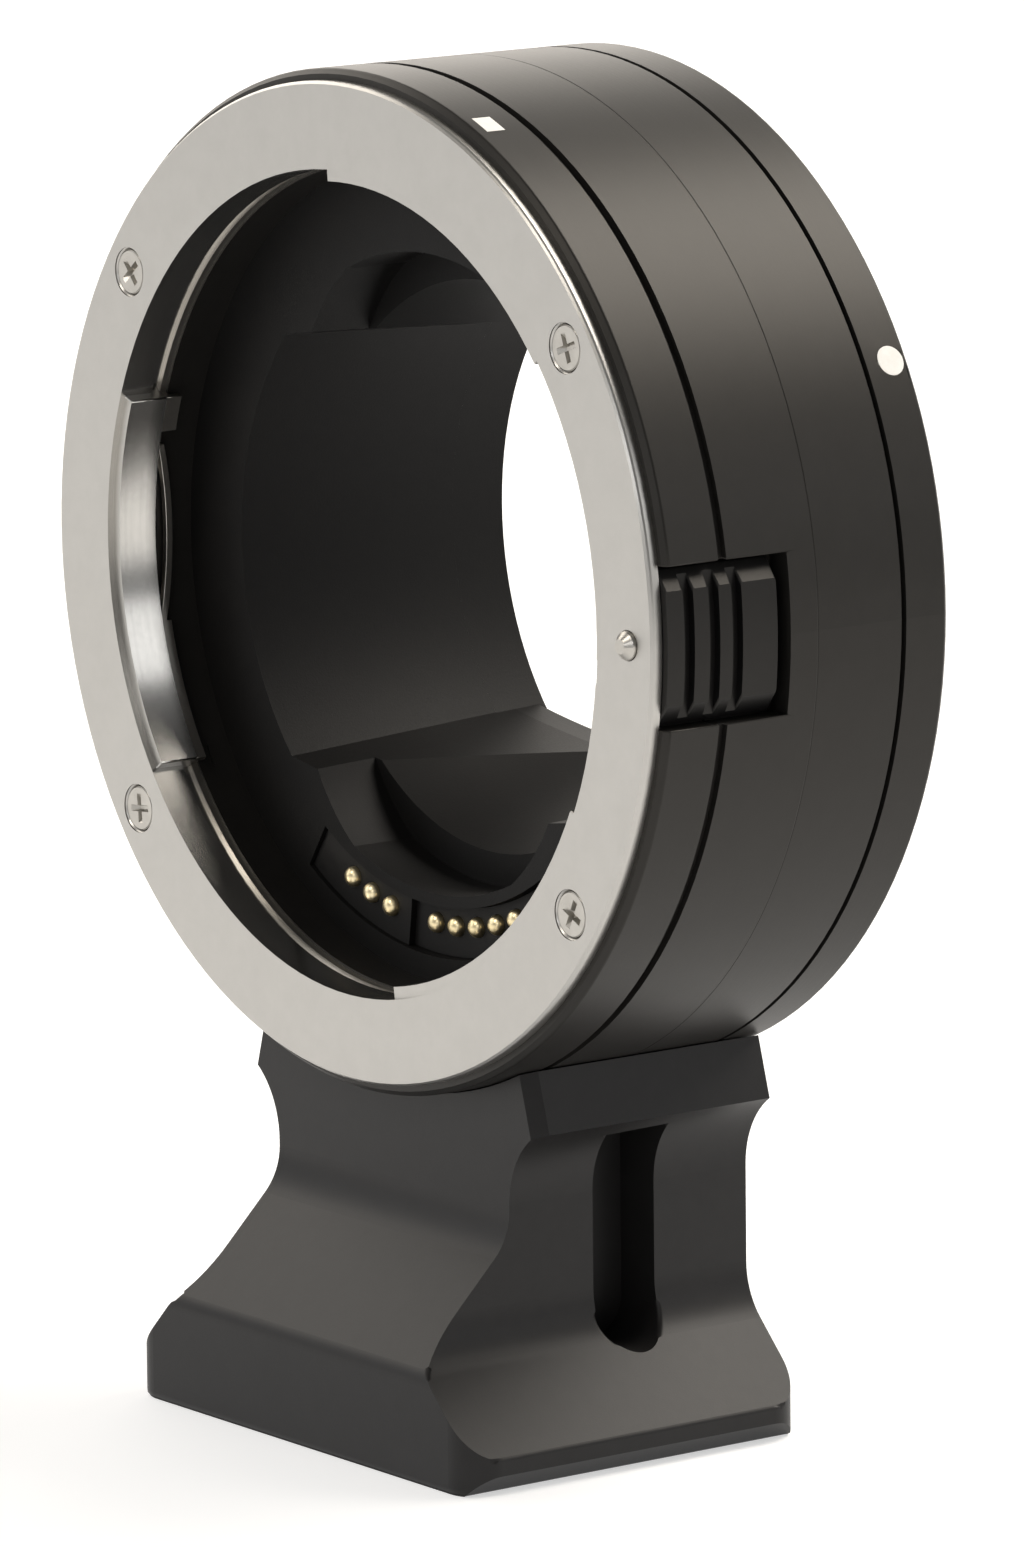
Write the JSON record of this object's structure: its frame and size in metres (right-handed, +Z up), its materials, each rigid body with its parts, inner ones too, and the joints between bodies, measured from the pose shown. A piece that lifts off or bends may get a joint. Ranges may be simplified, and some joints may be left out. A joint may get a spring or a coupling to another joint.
{
  "type": "lens mount adapter",
  "caption": "Short black tube with a silver lens bayonet in front, a camera bayonet behind, sprung contacts, a lens release slide and a tripod foot below.",
  "frame": {"origin": "mouth of the tripod thread, at the middle of the foot's base", "axes": "+Z up, -Y towards the lens, +Y towards the camera, +X on the release slide's side"},
  "size_m": [0.0668, 0.033, 0.09],
  "materials": {
    "mount_chrome": "satin plated",
    "screw_steel": "bright",
    "screw_black": "blackened",
    "spring_steel": "bright",
    "black_anodised": "satin anodised",
    "slide_black": "satin anodised",
    "foot_black": "matte anodised",
    "baffle_black": "matte",
    "contact_plastic": "matte",
    "contact_gold": "gold plated",
    "board_green": "satin",
    "connector_cream": "matte",
    "flex_film": "satin",
    "white_paint": "paint"
  },
  "bodies": {
    "adapter": {"lens_mount_ring": "mount_chrome", "lens_mount_screws": "screw_steel", "lens_spring_ring": "spring_steel", "front_band": "black_anodised", "main_barrel": "black_anodised", "rear_band": "black_anodised", "release_spring": "spring_steel", "camera_mount": "mount_chrome", "camera_mount_screws": "screw_steel", "light_baffle": "baffle_black", "lens_contact_block": "contact_plastic", "contact_springs": "spring_steel", "circuit_board": "board_green", "board_screws": "screw_steel", "control_chip": "contact_plastic", "board_connector": "connector_cream", "flex_ribbon": "flex_film", "camera_contact_block": "contact_plastic", "camera_contact_pads": "contact_gold", "lens_index_mark": "white_paint", "camera_index_dot": "white_paint", "tripod_foot": "foot_black", "foot_screws": "screw_black", "tripod_bush": "screw_steel"},
    "release": {"release_slide": "slide_black", "lock_pin": "screw_steel"},
    "contact_pin_1_body": {"contact_pin_1": "contact_gold"},
    "contact_pin_2_body": {"contact_pin_2": "contact_gold"},
    "contact_pin_3_body": {"contact_pin_3": "contact_gold"},
    "contact_pin_4_body": {"contact_pin_4": "contact_gold"},
    "contact_pin_5_body": {"contact_pin_5": "contact_gold"},
    "contact_pin_6_body": {"contact_pin_6": "contact_gold"},
    "contact_pin_7_body": {"contact_pin_7": "contact_gold"},
    "contact_pin_8_body": {"contact_pin_8": "contact_gold"}
  },
  "joints": [
    {"name": "release_slide_press", "type": "slide", "parent": "adapter", "child": "release", "axis": [0, 1, 0], "range_m": [0, 0.00075], "stiffness_N_per_m": 1000, "springref_m": -0.001, "deforming": ["release_spring"]},
    {"name": "contact_pin_1_press", "type": "slide", "parent": "adapter", "child": "contact_pin_1_body", "axis": [0, 1, 0], "range_m": [0, 0.0006], "stiffness_N_per_m": 400, "springref_m": -0.0005, "deforming": ["contact_springs"]},
    {"name": "contact_pin_2_press", "type": "slide", "parent": "adapter", "child": "contact_pin_2_body", "axis": [0, 1, 0], "range_m": [0, 0.0006], "stiffness_N_per_m": 400, "springref_m": -0.0005, "deforming": ["contact_springs"]},
    {"name": "contact_pin_3_press", "type": "slide", "parent": "adapter", "child": "contact_pin_3_body", "axis": [0, 1, 0], "range_m": [0, 0.0006], "stiffness_N_per_m": 400, "springref_m": -0.0005, "deforming": ["contact_springs"]},
    {"name": "contact_pin_4_press", "type": "slide", "parent": "adapter", "child": "contact_pin_4_body", "axis": [0, 1, 0], "range_m": [0, 0.0006], "stiffness_N_per_m": 400, "springref_m": -0.0005, "deforming": ["contact_springs"]},
    {"name": "contact_pin_5_press", "type": "slide", "parent": "adapter", "child": "contact_pin_5_body", "axis": [0, 1, 0], "range_m": [0, 0.0006], "stiffness_N_per_m": 400, "springref_m": -0.0005, "deforming": ["contact_springs"]},
    {"name": "contact_pin_6_press", "type": "slide", "parent": "adapter", "child": "contact_pin_6_body", "axis": [0, 1, 0], "range_m": [0, 0.0006], "stiffness_N_per_m": 400, "springref_m": -0.0005, "deforming": ["contact_springs"]},
    {"name": "contact_pin_7_press", "type": "slide", "parent": "adapter", "child": "contact_pin_7_body", "axis": [0, 1, 0], "range_m": [0, 0.0006], "stiffness_N_per_m": 400, "springref_m": -0.0005, "deforming": ["contact_springs"]},
    {"name": "contact_pin_8_press", "type": "slide", "parent": "adapter", "child": "contact_pin_8_body", "axis": [0, 1, 0], "range_m": [0, 0.0006], "stiffness_N_per_m": 400, "springref_m": -0.0005, "deforming": ["contact_springs"]}
  ]
}
